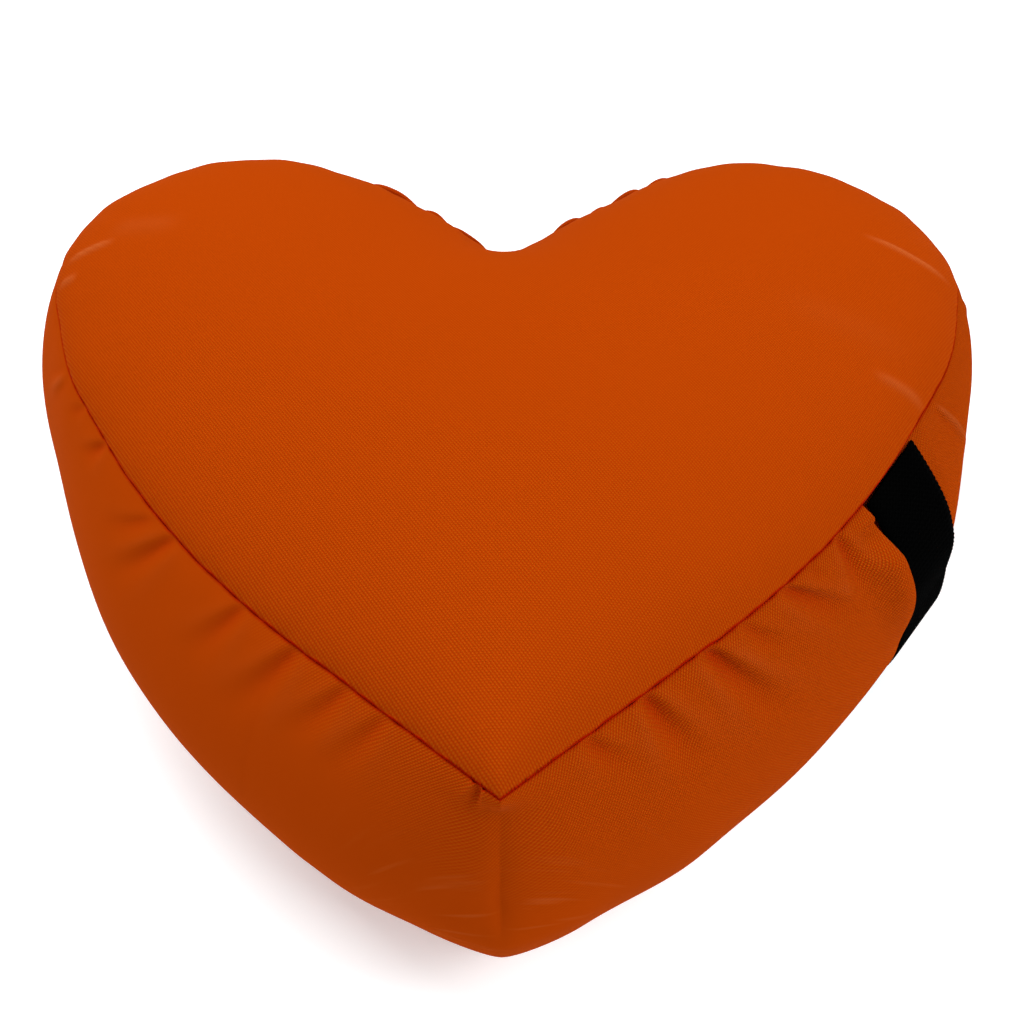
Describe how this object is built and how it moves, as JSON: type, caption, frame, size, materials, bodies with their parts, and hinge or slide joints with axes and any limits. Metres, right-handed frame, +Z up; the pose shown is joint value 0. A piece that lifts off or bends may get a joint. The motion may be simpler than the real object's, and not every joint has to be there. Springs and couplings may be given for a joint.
{
  "type": "floor_cushion",
  "caption": "Heart-shaped zafu meditation cushion in orange canvas, with crowned top panel, full puckered side band and a black webbing carry handle",
  "frame": {"origin": "on the floor under the middle of the cushion's depth, on the line from the heart's tip to its notch", "axes": "+X to the side that carries the handle, +Y from the tip towards the two lobes, +Z up"},
  "size_m": [0.4199, 0.3533, 0.1464],
  "materials": {
    "canvas": "matt plain-weave cotton canvas, orange",
    "webbing": "matt black woven webbing"
  },
  "bodies": {
    "root": {"cushion_body": "canvas", "top_panel": "canvas", "bottom_panel": "canvas", "handle_strap": "webbing"}
  },
  "joints": []
}
